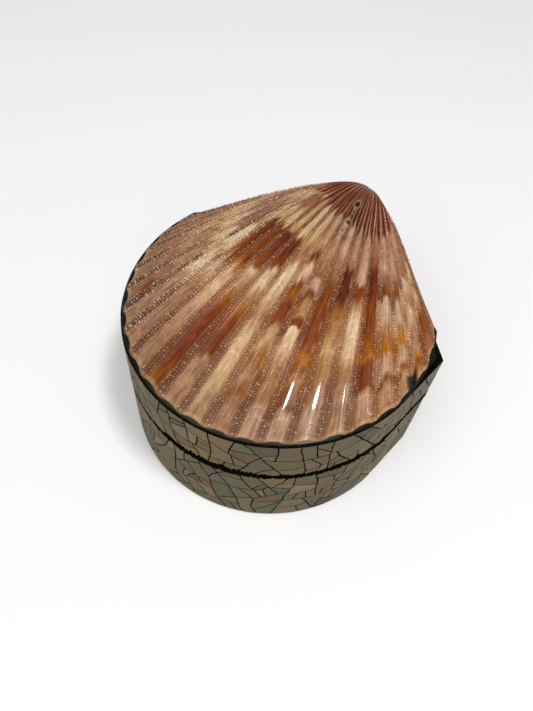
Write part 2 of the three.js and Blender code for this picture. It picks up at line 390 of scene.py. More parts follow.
def valve_tree():
    """The outer face of the valve: a grid that is bent along its growth spirals."""
    bench = Bench(bpy.data.node_groups.new("valve growth", "GeometryNodeTree"))
    given = bench.named_inputs(length="Float", rib_height="Float", rib_flatness="Float",
                               columns_per_rib="Int", rows="Int", material="Material")
    columns = given["Columns per rib"] * (RIB_COUNT + 2.0)
    mesh, across, share = bench.grid(columns + 1.0, given["Rows"])
    spread = across * (RIB_COUNT + 2.0) - 1.0
    rib = spread.math("MAXIMUM", 0.0).math("MINIMUM", float(RIB_COUNT))
    drop = (spread - rib).math("ABSOLUTE")
    beak = (BEAK_TURN * CURL_RATE / curl_slope(fan_angle(rib)) + 1.0) ** (-1 / CURL_RATE)
    growth = beak + (1.0 - beak) * share ** 1.25
    angle, curl, reach, margin = valve_terms(given, rib, growth)
    spot = valve_place(bench, angle, curl, reach, drop)
    umbo = bench.vector(0.0, UMBO_Y, VALVE_FOOT)
    first = share.math("LESS_THAN", 0.0005)
    spot = bench.add("ShaderNodeMix", {"data_type": "VECTOR"}, {0: first, 4: spot, 5: umbo}, 1)
    mesh = bench.store(mesh, "rib", groove_shift(rib))
    mesh = bench.store(mesh, "growth", growth)
    chart = bench.vector((spread + 1.0) * (1 / (RIB_COUNT + 2.0)), growth, 0.0)
    mesh = bench.store(mesh, "UVMap", chart, "FLOAT2", "CORNER")
    mesh = bench.add("GeometryNodeSetPosition", None, {"Geometry": mesh, "Position": spot})
    mesh = bench.add("GeometryNodeFlipFaces", None, {"Mesh": mesh})
    mesh = bench.add("GeometryNodeMergeByDistance", None, {"Geometry": mesh, "Distance": 2e-6})
    return bench.finish(mesh, given["Material"])


def scale_tree():
    """Rows of scales on the crests: a grid of points on the valve, each with one scale."""
    bench = Bench(bpy.data.node_groups.new("crest scales", "GeometryNodeTree"))
    given = bench.named_inputs(length="Float", rib_height="Float", rib_flatness="Float",
                               rows_per_crest="Int", scales_per_row="Int", first_growth="Float",
                               band="Float", height="Float", seed="Int", scale="Object",
                               material="Material")
    rows = given["Rows per crest"]
    points, across, along = bench.grid(rows * float(RIB_COUNT), given["Scales per row"])
    step = (across * (rows * float(RIB_COUNT) - 1.0)).math("ROUND")
    crest = ((step + 0.5) / rows).math("FLOOR")
    row = step - crest * rows

    def pick(low, high, offset):
        """A random number for each scale."""
        return bench.add("FunctionNodeRandomValue", {"data_type": "FLOAT"},
                         {2: low, 3: high, "Seed": given["Seed"] + float(offset)}, 1)

    def minus(first, second):
        return bench.add("ShaderNodeVectorMath", {"operation": "SUBTRACT"}, {0: first, 1: second})

    def spot(rib_value, growth_value):
        """A point of the valve's outer face."""
        return valve_place(bench, *valve_terms(given, rib_value, growth_value)[:3])

    # The bands are wider on the flanks, where the scales reach closer to the umbo too
    flanks = (1.0 - crest.between(6.5, 10.0)) * 0.38 + crest.between(15.5, 18.0) * 0.3
    band = given["Band"] * (flanks + 1.0)
    rib = crest + 0.5 + ((row + 0.5) / rows - 0.5) * band + pick(-0.02, 0.02, 1)
    true_rib = rib + rib - groove_shift(rib)
    true_rib = rib + true_rib - groove_shift(true_rib)
    along = along + (row * 0.4 + pick(-0.2, 0.2, 2)) / given["Scales per row"]
    growth = given["First growth"] + along * (0.985 - given["First growth"])
    growth = growth.math("MINIMUM", 0.99)

    here = spot(true_rib, growth)
    forward = minus(spot(true_rib, growth + 0.004), here)
    sideways = minus(spot(true_rib + 0.04, growth), spot(true_rib - 0.04, growth))
    normal = bench.add("ShaderNodeVectorMath", {"operation": "CROSS_PRODUCT"},
                       {0: forward, 1: sideways})
    turned = bench.add("FunctionNodeAlignRotationToVector", {"axis": "Z"}, {"Vector": normal})
    turned = bench.add("FunctionNodeAlignRotationToVector", {"axis": "Y", "pivot_axis": "Z"},
                       {"Rotation": turned, "Vector": forward})

    margin = valve_terms(given, true_rib, growth)[3]
    pitch = margin * growth * (math.radians(2 * HALF_FAN) / RIB_COUNT)
    size = pick(0.74, 1.18, 3)
    width = pitch * band / rows * size * SCALE_FILL_ACROSS
    length = margin * (0.78 / given["Scales per row"]) * size * SCALE_FILL_ALONG
    low = 1.0 - crest.between(5.0, 8.0) + crest.between(15.0, 18.0)
    raised = growth.between(0.41, 0.66).math("MAXIMUM", low) * growth.between(0.18, 0.34)
    raised = given["Height"] * raised * size * (low * 0.35 + 1.0)
    near_chip = (rib - MARGIN_CHIP_RIB).math("ABSOLUTE").math("LESS_THAN", MARGIN_CHIP_REACH)
    shown = pick(0.0, 1.0, 5).math("GREATER_THAN", 0.06)
    shown = shown - near_chip * growth.math("GREATER_THAN", MARGIN_CHIP_GROWTH)

    # All is stored before the points move, because it is worked out from their places
    kept = {"shown": ("FLOAT", shown), "rib": ("FLOAT", rib), "growth": ("FLOAT", growth),
            "pick": ("FLOAT", pick(0.0, 1.0, 4)), "place": ("FLOAT_VECTOR", here),
            "turned": ("QUATERNION", turned),
            "size": ("FLOAT_VECTOR", bench.vector(width, length, raised))}
    for name, (kind, value) in kept.items():
        points = bench.store(points, name, value, kind)

    def recall(name):
        return bench.add("GeometryNodeInputNamedAttribute", {"data_type": kept[name][0]},
                         {"Name": name})

    points = bench.add("GeometryNodeSetPosition", None,
                       {"Geometry": points, "Position": recall("place")})
    shape = bench.add("GeometryNodeObjectInfo", None, {"Object": given["Scale"]}, "Geometry")
    mesh = bench.add("GeometryNodeInstanceOnPoints", None, {
        "Points": points, "Selection": recall("shown").math("GREATER_THAN", 0.5),
        "Instance": shape, "Rotation": recall("turned"), "Scale": recall("size")})
    return bench.finish(mesh, given["Material"])


def margin_radius(angle):
    """Distance from the umbo to the margin at an angle of the fan, in degrees."""
    past = max(0.0, abs(angle) - EAR_START) / (HALF_FAN - EAR_START)
    length = sizes("valve").length
    return length * math.cos(math.radians(angle)) ** FAN_POWER - EAR_ROUNDING * past * past


def polar(angle, distance):
    turn = math.radians(angle)
    return np.array([distance * math.sin(turn), -distance * math.cos(turn)])


# The outline of the box

class Outline:
    """The plan of the box as a closed line that can be followed by length, and moved inwards."""

    def __init__(self):
        shoulder = polar(-HALF_FAN, margin_radius(-HALF_FAN) + LEDGE)
        corner = polar(CORNER_ANGLE, margin_radius(CORNER_ANGLE) + CORNER_LEDGE)
        left = np.array([-BACK_HALF_WIDTH, BACK_START])
        angles = np.linspace(-HALF_FAN, STRAIGHT_FROM, 103)
        front = [polar(angle, margin_radius(angle) + LEDGE) for angle in angles]
        rounding = self.round_corner(left, shoulder, front[6], 12)
        reach = np.linalg.norm(rounding[-1] - shoulder) * 1.04
        rest = [point for point in front if np.linalg.norm(point - shoulder) > reach]
        radius = (BACK_HALF_WIDTH ** 2 + BACK_BULGE ** 2) / (2 * BACK_BULGE)
        turn = math.asin(BACK_HALF_WIDTH / radius)
        back = []
        for bend in np.linspace(turn, -turn, 17):
            depth = BACK_START + BACK_BULGE - radius * (1 - math.cos(bend))
            back.append(np.array([radius * math.sin(bend), depth]))
        self.points = np.array(rounding + rest + [corner] + back) + [0, UMBO_Y]
        self.corners = [len(rounding) + len(rest), len(rounding) + len(rest) + 1,
                        len(self.points) - 1]
        before = self.points - np.roll(self.points, 1, axis=0)
        before /= np.linalg.norm(before, axis=1)[:, None]
        after = np.roll(before, -1, axis=0)
        turned_before = np.stack([-before[:, 1], before[:, 0]], axis=1)
        turned_after = np.stack([-after[:, 1], after[:, 0]], axis=1)
        share = 1 + np.sum(turned_before * turned_after, axis=1)
        self.inward = (turned_before + turned_after) / share[:, None]
        steps = np.linalg.norm(np.roll(self.points, -1, axis=0) - self.points, axis=1)
        self.marks = np.concatenate([[0], np.cumsum(steps)])
        self.length = self.marks[-1]

    @staticmethod
    def round_corner(before, corner, after, steps):
        to_before = (before - corner) / np.linalg.norm(before - corner)
        to_after = (after - corner) / np.linalg.norm(after - corner)
        half = math.acos(float(to_before @ to_after)) / 2
        bisector = (to_before + to_after) / np.linalg.norm(to_before + to_after)
        centre = corner + bisector * (SHOULDER_RADIUS / math.sin(half))
        reach = SHOULDER_RADIUS / math.tan(half)
        first = corner + to_before * reach - centre
        last = corner + to_after * reach - centre
        turn = math.atan2(first[0] * last[1] - first[1] * last[0], float(first @ last))
        made = []
        for i in range(steps + 1):
            c, s = math.cos(turn * i / steps), math.sin(turn * i / steps)
            made.append(centre + [c * first[0] - s * first[1], s * first[0] + c * first[1]])
        return made

    def at(self, along, inset):
        """Points at lengths along the outline, moved inwards. Takes arrays."""
        along = np.asarray(along, dtype=float) % self.length
        index = np.clip(np.searchsorted(self.marks, along, side="right") - 1, 0,
                        len(self.points) - 1)
        share = (along - self.marks[index]) / (self.marks[index + 1] - self.marks[index])
        after = (index + 1) % len(self.points)
        share = share[..., None]
        point = self.points[index] * (1 - share) + self.points[after] * share
        inward = self.inward[index] * (1 - share) + self.inward[after] * share
        return point + inward * np.asarray(inset)[..., None]


def smooth_noise(x, y, seed, scale):
    """Soft noise in two directions, from -1 to 1, from a few crossed waves."""
    pick = random.Random(seed)
    total = np.zeros(np.broadcast(x, y).shape)
    weight = 0.0
    for octave in range(5):
        turn = pick.uniform(0, 2 * math.pi)
        size = scale * pick.uniform(0.7, 1.6)
        share = pick.uniform(0.6, 1.0)
        wave = np.sin(size * (x * math.cos(turn) + y * math.sin(turn)) + pick.uniform(0, 6.3))
        bend = np.sin(size * 0.7 * (x * math.sin(turn) - y * math.cos(turn)) + turn * 3)
        total = total + share * wave * (0.6 + 0.4 * bend)
        weight += share
    return total / weight


# Colours, painted for each groove and crest

def tint(text):
    """A colour from its six hex digits, as linear light."""
    parts = [int(text[i:i + 2], 16) / 255 for i in (0, 2, 4)]
    return np.array([c / 12.92 if c <= 0.04045 else ((c + 0.055) / 1.055) ** 2.4 for c in parts])


TINTS = {name: tint(value) for name, value in {
    "maroon": "6c2c0b", "umber": "7e3e08", "rust": "864809", "caramel": "98621f",
    "amber": "ac7419", "tan": "aa825e", "cream": "c6b29a", "ivory": "d0c2b0",
    "mauve": "8e624a", "rose": "a87d69", "pink": "ae8e7a", "blush": "ba9f92",
    "grey": "835a3c", "chalk": "c2ad9c", "straw": "bea27c", "black": "0a0b08",
}.items()}

# What the light takes off the paint, in general and on the smooth bands of the flanks
WARMTH = np.array([1.0, 0.84, 0.66])
FLANK_WARMTH = np.array([0.95, 0.87, 0.76])

# How crests are painted at these ribs: where the paint of the groove on the right takes over from
# that on the left, how softly, the share of the crest's own paint, and how bright it is
FLANKS = (0, 6, 7.5, 15.5, 17.5, 22)
CREST_TURN = (0.76, 0.76, 0.5, 0.5, 0.26, 0.26)
CREST_SPREAD = (0.06, 0.06, 0.4, 0.4, 0.06, 0.06)
CREST_OWN = (0.12, 0.12, 0.42, 0.42, 0.2, 0.2)
CREST_SHADE = (0.48, 0.50, 0.66, 0.66, 0.66, 0.66)

# Growths where growth halted, with the width and depth of the dark line
HALTS = [(.475, .006, .35), (.60, .004, .22), (.69, .005, .18), (.78, .004, .25),
         (.845, .005, .22), (.92, .004, .3)]

# The width of a rib at the margin, and the pits near the umbo: rib, growth, half width and half
# height. Widths and heights are shares of the valve's length.
RIB_PITCH = 0.078
PITS = [(13.16, .249, .0085, .013), (13.20, .336, .0085, .009), (13.3, .222, .0032, .005),
        (13.24, .288, .003, .007), (13.02, .374, .004, .004), (13.3, .362, .003, .005)]

# Where the dark zone round the umbo ends, by rib
UMBO_END = [(0, .32), (3, .32), (4, .34), (5, .31), (6, .275), (7, .255), (8, .255), (9, .28),
            (10, .31), (11, .33), (13, .34), (14, .36), (15, .37), (19, .37), (20, .34), (22, .32)]

# Runs of paint for each groove and for the crests from a rib on: growths and names of tints
GROOVES = {
    0: "0 cream .5 tan .7 mauve 1 rose",
    1: "0 cream .5 cream .62 tan .8 rose 1 pink",
    2: "0 cream .45 rose .55 cream .66 cream .75 tan .9 pink 1 rose",
    3: "0 chalk .28 rose .50 rose .59 cream .66 straw .69 tan .74 cream .82 pink .88 rose 1 pink",
    4: "0 chalk .38 chalk .41 rose .52 rose .55 cream .63 cream .68 tan .78 pink .86 rose 1 pink",
    5: "0 cream .36 cream .39 mauve .43 rose .58 mauve .60 cream .67 cream .70 tan .78 pink "
       ".89 rose .92 mauve 1 pink",
    6: "0 blush .33 cream .38 tan .42 cream .52 tan .54 ivory .63 ivory .65 tan .68 ivory "
       ".76 ivory .80 pink 1 pink",
    7: "0 cream .29 cream .31 mauve .38 rose .40 cream .45 straw .47 maroon .56 umber .61 rust "
       ".645 caramel .66 pink .72 cream .77 rose .82 pink 1 pink",
    8: "0 cream .29 cream .31 mauve .38 rose .40 cream .45 cream .47 umber .57 rust .61 rust "
       ".63 caramel .65 tan .68 cream .75 cream .80 blush .90 pink 1 pink",
    9: "0 blush .34 pink .37 straw .45 straw .47 maroon .54 umber .59 rust .61 caramel .62 cream "
       ".69 tan .73 caramel .77 rust .83 umber .93 rust 1 caramel",
    10: "0 cream .45 cream .47 umber .52 maroon .57 rust .585 cream .64 cream .68 tan .74 caramel "
        ".76 rust .86 rust .875 pink 1 pink",
    11: "0 cream .38 cream .44 straw .48 rose .52 tan .54 ivory .63 cream .70 tan .77 cream "
        ".90 cream 1 pink",
    12: "0 cream .44 pink .475 umber .50 rose .51 cream .55 cream .57 rust .62 caramel .64 umber "
        ".69 rust .71 pink .75 straw .80 caramel .85 pink .895 caramel .93 pink 1 rose",
    13: "0 chalk .37 pink .45 pink .48 rose .53 mauve .54 blush .565 blush .58 umber .61 tan "
        ".65 tan .665 umber .685 umber .69 ivory .76 cream .80 tan .89 tan .91 blush 1 blush",
    14: "0 blush .44 blush .47 rose .53 mauve .58 rust .74 rust .77 amber .80 caramel .83 tan "
        ".86 caramel .905 rust .92 blush 1 blush",
    15: "0 pink .46 pink .49 rose .51 maroon .60 maroon .63 caramel .70 tan .76 straw .80 tan "
        ".91 tan .93 blush 1 pink",
    16: "0 blush .44 pink .50 blush .56 blush .575 rust .61 rust .63 tan .67 cream .70 ivory "
        ".79 cream .83 tan .90 pink 1 pink",
    17: "0 pink .44 rose .51 mauve .53 maroon .63 umber .66 rust .75 rust .80 caramel .82 amber "
        ".84 rust .91 rust .93 blush 1 pink",
    18: "0 pink .45 blush .53 blush .56 rose .59 mauve .635 umber .65 cream .71 chalk .76 tan "
        ".81 amber .835 amber .85 blush .90 blush .92 rust .95 pink 1 rose",
    19: "0 rose .45 pink .55 blush .59 rose .61 mauve .66 umber .69 blush .75 cream .79 tan "
        ".815 amber .84 amber .86 blush .90 blush .92 rust .95 pink 1 rose",
    20: "0 rose .42 cream .48 pink .58 rose .60 mauve .62 ivory .69 blush .72 tan .76 ivory "
        ".80 cream .84 rose .91 pink .93 amber .95 rust 1 pink",
    21: "0 rose .55 rose .58 cream .64 cream .68 rose .74 cream .80 rose .84 rust .88 rust 1 rose",
    22: "0 tan .62 mauve .75 grey .9 mauve 1 tan",
}

CRESTS = {
    0: "0 cream .5 rose .64 tan .75 rose .9 mauve 1 rose",
    5: "0 rose .45 mauve .60 tan .75 rose .84 mauve 1 rose",
    6: "0 tan .38 straw .48 straw .60 tan .72 grey .85 mauve 1 rose",
    7: "0 mauve .45 grey .60 grey .66 tan .74 rose .82 mauve 1 mauve",
    9: "0 tan .45 grey .60 grey .68 tan .75 mauve 1 mauve",
    10: "0 straw .45 straw .48 grey .58 grey .62 tan .70 mauve .9 mauve 1 rose",
    11: "0 straw .45 straw .54 tan .62 grey .72 tan .80 rose .9 tan 1 rose",
    12: "0 tan .48 tan .55 grey .70 mauve .73 tan .80 mauve 1 mauve",
    13: "0 umber .40 mauve .46 grey .68 grey .75 mauve 1 mauve",
    14: "0 maroon .42 mauve .46 grey .60 grey .80 mauve 1 rose",
    15: "0 maroon .42 umber .50 grey .60 mauve .75 tan .85 grey 1 rose",
    17: "0 maroon .44 rose .52 pink .60 tan .66 straw .80 tan 1 pink",
    18: "0 umber .42 rose .50 pink .60 rose .66 straw .80 tan 1 pink",
    19: "0 mauve .42 rose .50 pink .58 rose .64 cream .75 tan .85 straw 1 rose",
}


def run_stops(line, growth):
    """The colour at each growth on one line of stops."""
    words = line.split()
    marks = [float(word) for word in words[::2]]
    colours = np.array([TINTS[word] for word in words[1::2]])
    return np.stack([np.interp(growth, marks, colours[:, c]) for c in range(3)], axis=-1)


def soft(value, low, high):
    """0 below low, 1 above high, with soft ends."""
    share = np.clip((value - low) / (high - low), 0, 1)
    return share * share * (3 - 2 * share)


def blended(colour, other, share):
    """A colour blended towards another, by a share for each point."""
    return colour + (other - colour) * share[..., None]


def ragged_shift(rib, growth):
    """How far the ends of the patches are shifted: softly, and thread by thread."""
    shift = smooth_noise(rib * 9, growth * 60, 3, 1.0) * 0.009
    shift = shift + smooth_noise(rib * 30, growth * 30, 4, 1.0) * 0.006
    thread = np.floor(rib * 7 + 0.5)
    return shift + 0.016 * np.sin(thread * 12.9898 + np.floor(thread / 7) * 4.1)


def groove_paint(rib, growth, ragged):
    """Colour of the smooth bands: a run of paint for each, with arched ends."""
    groove = np.clip(np.round(rib), 0, RIB_COUNT).astype(int)
    arched = growth + 0.004 * np.minimum(np.abs(rib - groove) / 0.3, 1) ** 2 + ragged
    colour = np.zeros(rib.shape + (3,))
    for index in range(RIB_COUNT + 1):
        here = groove == index
        colour[here] = run_stops(GROOVES[index], arched[here])
    contrast = 0.2 * soft(rib, 6, 8) * (1 - soft(rib, 16.5, 18.5)) * soft(growth, 0.4, 0.5)
    colour = colour * ((colour.mean(axis=-1) / 0.36) ** contrast)[..., None]
    deep = 1 - soft(colour.mean(axis=-1), 0.05, 0.25)
    return colour * (1 - np.array([-0.06, 0.04, 0.4]) * deep[..., None])


def crest_paint(rib, growth, ragged):
    """Colour of the beaded bands: their own paint and that of the grooves on both sides."""
    crest = np.clip(np.floor(rib), 0, RIB_COUNT - 1).astype(int)
    colour = np.zeros(rib.shape + (3,))
    for index in range(RIB_COUNT):
        here = crest == index
        part = rib[here] - index
        along = growth[here] + ragged[here] * 2
        turn, spread, own, shade = (np.interp(rib[here], FLANKS, values) for values in (
            CREST_TURN, CREST_SPREAD, CREST_OWN, CREST_SHADE))
        left, right = (run_stops(GROOVES[side], along) for side in (index, index + 1))
        beside = blended(left, right, soft(part, turn - spread, turn + spread))
        line = run_stops(CRESTS[max(key for key in CRESTS if key <= index)], along)
        mixed = blended(beside, line, own) * [1.08, 0.91, 0.80]
        contrast = 0.9 * (1 - soft(rib[here], 6, 8)) + 0.3 * soft(rib[here], 16, 18)
        edge = np.exp(-((part - turn) / 0.045) ** 2) * (1 - soft(spread, 0.06, 0.3))
        shade = shade * (1 - 0.4 * edge) * (mixed.mean(axis=1) / 0.29) ** contrast
        colour[here] = mixed * shade[:, None]
    return colour


def umbo_paint(rib, growth, ragged):
    """The dark zone round the umbo, with thin pale stripes, and how far each point is in it."""
    end = np.interp(rib, *zip(*UMBO_END)) - 0.014 * np.cos(2 * np.pi * rib) + ragged * 1.3
    inside = 1 - soft(growth, end - 0.012, end + 0.012)
    patch = soft(smooth_noise(rib * 2, growth * 14, 8, 1.4), -0.4, 0.6)
    colour = blended(TINTS["maroon"] * 0.7, TINTS["umber"] * 1.1, patch)
    colour = blended(colour, TINTS["tan"], 0.4 * (1 - soft(growth, 0.10, 0.2)))
    stripe = np.cos(4 * np.pi * rib + 0.6 * smooth_noise(rib, growth * 20, 5, 1.0))
    strength = 0.75 + 0.5 * smooth_noise(rib * 3, growth * 30, 6, 1.0)
    strength = strength * (0.85 + 0.3 * soft(rib, 12.5, 15))
    colour = blended(colour, TINTS["blush"], soft(stripe, 0.55, 0.96) * strength)
    streaks = soft(smooth_noise(rib * 14, growth * 18, 9, 1.0), 0.1, 0.6)
    return colour * (1 - 0.45 * streaks)[..., None], inside


def clouds_and_front_shade(rib, growth, ragged, crest_share):
    """How bright the paint is: lines where growth halted, clouds, and painted shade that darkens the
    front.
    """
    cloud = 1 + 0.10 * smooth_noise(rib * 1.3, growth * 12, 11, 1.5)
    for where, width, depth in HALTS:
        cloud = cloud - 0.4 * depth * np.exp(-((growth + ragged * 0.6 - where) / width) ** 2)
    cloud = cloud * (1 - 0.08 * (1 - soft(rib, 7, 9)))
    # Painted shade: darker towards the front margin, most on the crests
    front = soft(growth, 0.72, 1.0) * (1 - soft(rib, 16, 18))
    return cloud * (1 - 0.42 * front * (0.6 + 0.5 * crest_share))


def chip_and_pits(colour, rib, growth):
    """Adds the black chip in the margin, and the pits with their chalky rims."""
    chip = soft(rib, *MARGIN_CHIP_EDGES[:2]) * (1 - soft(rib, *MARGIN_CHIP_EDGES[2:]))
    chip = chip * soft(growth, *MARGIN_CHIP_START)
    colour = blended(colour, TINTS["black"], chip)
    for where, centre, wide, tall in PITS:
        away = np.hypot((rib - where) * growth * RIB_PITCH / wide, (growth - centre) / tall)
        away = away + 0.5 * smooth_noise(rib * 5, growth * 220, 17, 1.0)
        rim = np.exp(-((away - 1.35) / 0.4) ** 2)
        colour = blended(colour, TINTS["chalk"] * WARMTH * 0.8, 0.8 * rim)
        colour = blended(colour, TINTS["black"], 0.94 * (1 - soft(away, 0.75, 1.05)))
    return colour


def shell_paint(rib, growth):
    """Colour of the valve at rib coordinates and growths, and how far each point is on a crest."""
    off = rib - np.clip(np.round(rib), 0, RIB_COUNT)
    crest_share = soft(np.abs(off), 0.27, 0.37)
    ragged = ragged_shift(rib, growth)
    colour = groove_paint(rib, growth, ragged)
    colour = blended(colour, crest_paint(rib, growth, ragged), crest_share)
    # Painted highlights: a thin pale line where a groove meets the crest beside it, and along the
    # margin
    line = np.exp(-((off - 0.30 - 0.02 * np.sin(growth * 90)) / 0.022) ** 2)
    line = 0.42 * line * soft(growth, 0.3, 0.45) * soft(rib, 6, 7.5) * (1 - soft(rib, 16, 17))
    line = np.maximum(line, 0.5 * soft(growth, 0.984, 0.992))
    colour = blended(colour, TINTS["cream"], line)
    dark, near_umbo = umbo_paint(rib, growth, ragged)
    colour = blended(colour, dark, near_umbo)
    flank = (1 - soft(rib, 5, 8) + 0.5 * soft(rib, 17, 19)) * (1 - crest_share)
    warmth = blended(WARMTH, FLANK_WARMTH, flank)
    warmth = warmth * (1 - np.array([0.0, 0.06, 0.18]) * soft(growth, 0.65, 0.85)[..., None])
    cloud = clouds_and_front_shade(rib, growth, ragged, crest_share)
    colour = np.clip(colour * cloud[..., None] * warmth, 0.004, 0.9)
    return chip_and_pits(colour, rib, growth), crest_share * (1 - 0.75 * near_umbo)


def bead_paint(rib, growth, pick):
    """Colour of the scales: the paint beneath them, paler, and some of them nearly ivory, which are
    painted glints.
    """
    colour, beaded = shell_paint(rib, growth)
    flank = 1 - soft(rib, 6, 8)
    # Painted glints: a random few scales turn nearly ivory, more of them on the left flank
    painted_glints = (0.16 + 0.24 * flank) * soft(pick, 0.78, 0.9)
    amount = (0.02 + 0.10 * pick + painted_glints) * (0.3 + 0.7 * beaded) + 0.12 * flank
    pale = TINTS["ivory"] * blended(WARMTH, FLANK_WARMTH, flank)
    colour = blended(colour * (1.36 + 0.5 * flank)[:, None], pale, amount)
    return colour * (0.82 + 0.34 * pick)[:, None]


def store_colour(mesh, name, colour):
    """Writes one colour for each vertex."""
    values = np.ones((len(mesh.vertices), 4), dtype=np.float32)
    values[:, :3] = colour
    layer = mesh.color_attributes.new(name, "FLOAT_COLOR", "POINT")
    layer.data.foreach_set("color", values.ravel())


def read_floats(mesh, name):
    """Takes a stored value off the vertices."""
    values = np.zeros(len(mesh.vertices), dtype=np.float32)
    mesh.attributes[name].data.foreach_get("value", values)
    mesh.attributes.remove(mesh.attributes[name])
    return values.astype(float)


def store_floats(mesh, name, values):
    """Writes one value for each vertex."""
    layer = mesh.attributes.new(name, "FLOAT", "POINT")
    layer.data.foreach_set("value", values.astype(np.float32))


# Materials

def new_material(name, **shine):
    """A material with its shader in place. shine sets the shader's own sockets."""
    material = bpy.data.materials.new(name)
    material.use_nodes = True
    bench = Bench(material.node_tree)
    shader = bench.tree.nodes.new("ShaderNodeBsdfPrincipled")
    output = bench.tree.nodes.new("ShaderNodeOutputMaterial")
    bench.tree.links.new(shader.outputs[0], output.inputs[0])
    for socket, value in shine.items():
        shader.inputs[socket.replace("_", " ")].default_value = value
    return material, bench, shader


def feed(bench, shader, **values):
    """Links what changes over the surface to the shader's sockets."""
    for socket, value in values.items():
        plug(bench.tree, shader.inputs[socket.replace("_", " ")], value)


def bump(bench, shader, height, distance):
    """Relief of a height from 0 to 1, at a distance in metres."""
    made = bench.add("ShaderNodeBump", None,
                     {"Height": height, "Distance": distance, "Strength": 1.0})
    feed(bench, shader, Normal=made)


def shell_material():
    """Lacquered shell: painted colour, fine growth lines, a faint net on the crests."""
    material, bench, shader = new_material("lacquered shell", Coat_Roughness=0.06, Coat_IOR=1.5,
                                           Specular_IOR_Level=0.16)
    paint = bench.add("ShaderNodeVertexColor", {"layer_name": "paint"})
    beaded = bench.add("ShaderNodeAttribute", {"attribute_name": "beaded"}, output=2)
    gloss = bench.add("ShaderNodeAttribute", {"attribute_name": "gloss"}, output=2)
    feed(bench, shader, Coat_Weight=gloss)
    chart = bench.parts(bench.add("ShaderNodeUVMap", {"uv_map": "UVMap"}))
    spot = bench.add("ShaderNodeTexCoord", output="Object")
    lines = bench.noise(bench.vector(chart[0] * 30.0, chart[1] * 260.0), 1.0, 2.0)
    threads = bench.noise(bench.vector(chart[0] * 420.0, chart[1] * 9.0), 1.0, 1.0)
    patches = bench.noise(bench.vector(chart[0] * 170.0, chart[1] * 24.0), 1.0, 3.0)
    bend = (chart[0] * (2 * math.pi * (RIB_COUNT + 2.0))).math("COSINE") * 0.004
    arcs = bench.noise(bench.vector(chart[0] * 12.0, (chart[1] + bend) * 85.0, 7.0), 1.0, 1.0)
    mottle = bench.noise(spot, 700.0, 3.0)
    cells = bench.add("ShaderNodeTexVoronoi", {"feature": "DISTANCE_TO_EDGE"},
                      {"Vector": spot, "Scale": 1500.0})
    net = 1.0 - cells.between(0.03, 0.16)
    shade = 0.58 + lines.between(0.3, 0.7) * 0.08 + threads.between(0.3, 0.7) * 0.28
    shade = shade + patches.between(0.32, 0.68) * 0.42 + arcs.between(0.54, 0.66) * 0.2
    beads = (chart[1] * (2 * math.pi * 96.0) + threads * 14.0 + patches * 9.0).math("SINE")
    beads = (beads * 0.5 + 0.5) * patches.between(0.35, 0.65)
    shade = shade + (beads - 0.25) * 0.07
    tone = bench.vector(shade, shade ** 1.15, shade ** 1.35)
    colour = bench.blend(1.0, paint, tone, "MULTIPLY")
    colour = bench.blend(patches.between(0.55, 0.75) * 0.24, colour, (0.34, 0.115, 0.028, 1.0))
    gold = bench.blend(0.6, paint, (0.70, 0.48, 0.28, 1.0))
    speck = net * beaded * mottle.between(0.40, 0.66) * 0.12
    colour = bench.blend(speck, colour, gold)
    feed(bench, shader, Base_Color=colour, Roughness=0.34 + mottle * 0.22)
    bump(bench, shader, lines * 0.35 + threads * 0.4 + beads * 0.7 + net * beaded * 0.3, 0.00007)
    return material


def scale_material():
    """The scales: the same shell, a little paler."""
    material, bench, shader = new_material("crest scales", Coat_Roughness=0.16, Coat_IOR=1.5,
                                           Coat_Weight=0.55, Specular_IOR_Level=0.4)
    paint = bench.add("ShaderNodeVertexColor", {"layer_name": "paint"})
    grain = bench.noise(bench.add("ShaderNodeTexCoord", output="Object"), 2600.0, 2.0)
    colour = bench.blend(1.0, paint, bench.vector(0.8 + grain * 0.4, 0.8 + grain * 0.4,
                                                  0.8 + grain * 0.38), "MULTIPLY")
    feed(bench, shader, Base_Color=colour, Roughness=0.30 + grain * 0.2)
    return material


def pearl_material():
    """Grey mother-of-pearl under clear coat: each chip its own colour, with wavy layers."""
    material, bench, shader = new_material("mother of pearl", Coat_Roughness=0.15, Coat_IOR=1.4,
                                           Coat_Weight=0.05, Specular_IOR_Level=0.04)
    paint = bench.add("ShaderNodeVertexColor", {"layer_name": "paint"})
    chart = bench.parts(bench.add("ShaderNodeUVMap", {"uv_map": "UVMap"}))
    spot = bench.add("ShaderNodeTexCoord", output="Object")
    layers = bench.noise(bench.vector(chart[0] * 60.0, chart[1] * 420.0), 1.0, 3.0)
    fleck = bench.noise(spot, 2400.0, 2.0)
    shade = 0.46 + layers * 0.6 + fleck * 0.3
    colour = bench.blend(1.0, paint, bench.vector(shade, shade, shade), "MULTIPLY")
    for scale, offset, hue, share in ((190.0, 0.0, (0.075, 0.125, 0.085, 1.0), 0.45),
                                      (230.0, 4.0, (0.125, 0.118, 0.120, 1.0), 0.40),
                                      (260.0, 9.0, (0.190, 0.125, 0.070, 1.0), 0.45)):
        moved = bench.add("ShaderNodeVectorMath", None, {0: spot, 1: (offset, offset, 0.0)})
        glow = bench.noise(moved, scale, 1.0).between(0.54, 0.72)
        colour = bench.blend(glow * share, colour, hue)
    feed(bench, shader, Base_Color=colour, Roughness=0.34 + layers * 0.3)
    bump(bench, shader, layers + fleck * 0.3, 0.00003)
    return material


